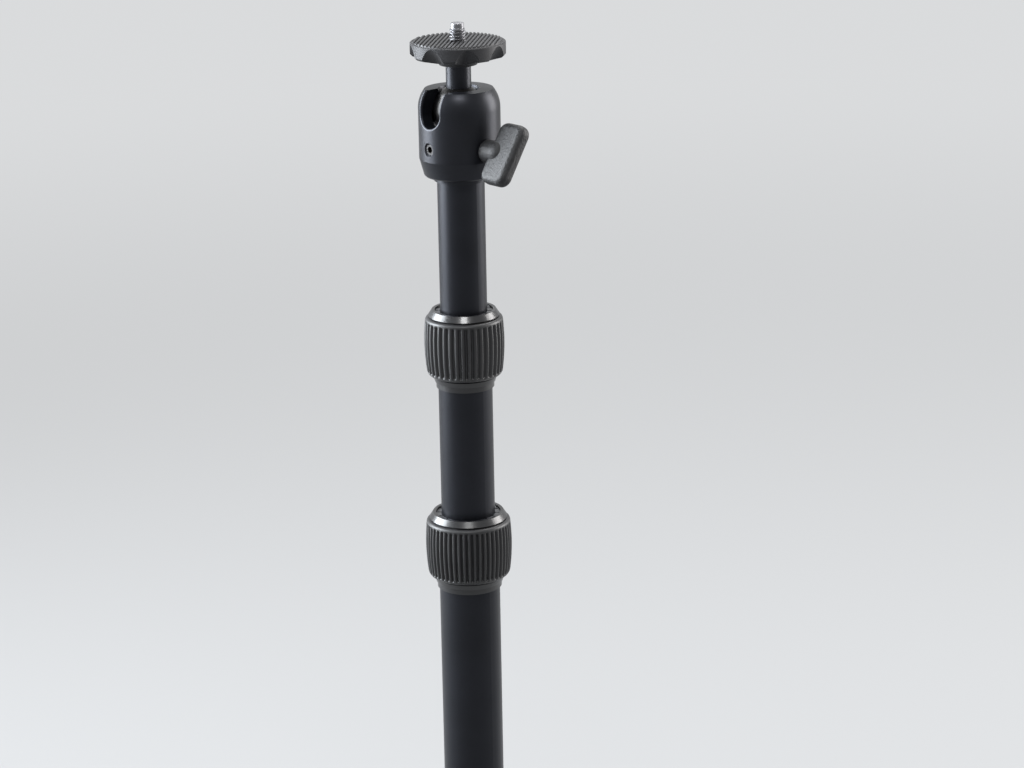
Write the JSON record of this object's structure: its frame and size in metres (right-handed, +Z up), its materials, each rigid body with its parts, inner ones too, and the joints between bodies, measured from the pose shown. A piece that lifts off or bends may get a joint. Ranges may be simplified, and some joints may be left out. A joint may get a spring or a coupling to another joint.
{
  "type": "telescopic tripod stand with ball head",
  "caption": "Slim black telescopic stand: folding legs, round mast with ribbed twist locks, and a ball head with a scalloped camera platform and screw.",
  "frame": {"origin": "on the floor, on the mast axis, midway between the feet", "axes": "+Z up along the mast; the head's drop slot faces -Y and its lock knob points along +X"},
  "size_m": [0.2954, 0.258, 0.4773],
  "materials": {
    "tube_black": "satin black anodised",
    "head_black": "satin black anodised, fine turned grain",
    "platform_black": "matte black, fine cast grain",
    "gloss_black": "polished black moulding",
    "grip_rubber": "matte black moulded rubber",
    "knob_grey": "grained dark grey moulding",
    "bright_steel": "bright zinc plated",
    "black_steel": "black oxide",
    "collet_plastic": "dark acetal",
    "inner_plastic": "natural grey acetal",
    "plug_brass": "turned",
    "hub_black": "fine grained black moulding",
    "foot_rubber": "matte black rubber"
  },
  "bodies": {
    "base": {"base_hub": "hub_black", "lower_tube": "tube_black", "tube_foot_plug": "inner_plastic", "hub_bolt": "black_steel", "leg_pin_1": "black_steel", "leg_pin_2": "black_steel", "leg_pin_3": "black_steel", "lower_lock_ferrule": "gloss_black", "lower_lock_collet": "collet_plastic"},
    "lower_lock": {"lower_lock_nut": "gloss_black", "lower_lock_grip": "grip_rubber"},
    "middle_section": {"middle_tube": "tube_black", "middle_guide_bush": "inner_plastic", "upper_lock_ferrule": "gloss_black", "upper_lock_collet": "collet_plastic"},
    "upper_lock": {"upper_lock_nut": "gloss_black", "upper_lock_grip": "grip_rubber"},
    "upper_section": {"upper_tube": "tube_black", "upper_guide_bush": "inner_plastic", "tube_top_plug": "head_black", "head_stud": "bright_steel"},
    "head": {"head_housing": "head_black", "closing_plug": "head_black", "spring_washer": "bright_steel", "pressure_plug": "plug_brass", "grub_screw": "black_steel"},
    "lock_lever": {"lock_knob": "knob_grey", "knob_spindle": "bright_steel"},
    "ball_cup": {"ball_seat": "inner_plastic"},
    "ball_body": {"ball": "black_steel"},
    "camera_mount": {"ball_stem": "head_black", "camera_platform": "platform_black", "camera_screw": "bright_steel"},
    "leg_1": {"leg_knuckle_1": "hub_black", "leg_tube_1": "tube_black", "leg_foot_1": "foot_rubber"},
    "leg_2": {"leg_knuckle_2": "hub_black", "leg_tube_2": "tube_black", "leg_foot_2": "foot_rubber"},
    "leg_3": {"leg_knuckle_3": "hub_black", "leg_tube_3": "tube_black", "leg_foot_3": "foot_rubber"}
  },
  "joints": [
    {"name": "middle_slide", "type": "slide", "parent": "base", "child": "middle_section", "axis": [0, 0, 1], "range_m": [-0.05, 0.065]},
    {"name": "upper_slide", "type": "slide", "parent": "middle_section", "child": "upper_section", "axis": [0, 0, 1], "range_m": [-0.05, 0.065]},
    {"name": "lower_lock_twist", "type": "hinge", "parent": "base", "child": "lower_lock", "pos_m": [0, 0, 0.26], "axis": [0, 0, 1], "range_deg": [0, 120]},
    {"name": "upper_lock_twist", "type": "hinge", "parent": "middle_section", "child": "upper_lock", "pos_m": [0, 0, 0.346], "axis": [0, 0, 1], "range_deg": [0, 120]},
    {"name": "head_pan", "type": "hinge", "parent": "upper_section", "child": "head", "pos_m": [0, 0, 0.4165], "axis": [0, 0, 1], "continuous": true},
    {"name": "lock_knob_turn", "type": "hinge", "parent": "head", "child": "lock_lever", "pos_m": [0.02, 0, 0.4284], "axis": [1, 0, 0], "range_deg": [0, 180]},
    {"name": "ball_swing", "type": "hinge", "parent": "head", "child": "ball_cup", "pos_m": [0, 0, 0.4425], "axis": [0, 0, 1], "range_deg": [-180, 0]},
    {"name": "ball_tilt", "type": "hinge", "parent": "ball_cup", "child": "ball_body", "pos_m": [0, 0, 0.4425], "axis": [1, 0, 0], "range_deg": [-18, 90]},
    {"name": "platform_spin", "type": "hinge", "parent": "ball_body", "child": "camera_mount", "pos_m": [0, 0, 0.4425], "axis": [0, 0, 1], "continuous": true},
    {"name": "leg_1_fold", "type": "hinge", "parent": "base", "child": "leg_1", "pos_m": [0, -0.026, 0.055], "axis": [-1, 0, 0], "range_deg": [0, 108]},
    {"name": "leg_2_fold", "type": "hinge", "parent": "base", "child": "leg_2", "pos_m": [0.02252, 0.013, 0.055], "axis": [0.5, -0.866, 0], "range_deg": [0, 108]},
    {"name": "leg_3_fold", "type": "hinge", "parent": "base", "child": "leg_3", "pos_m": [-0.02252, 0.013, 0.055], "axis": [0.5, 0.866, 0], "range_deg": [0, 108]}
  ]
}
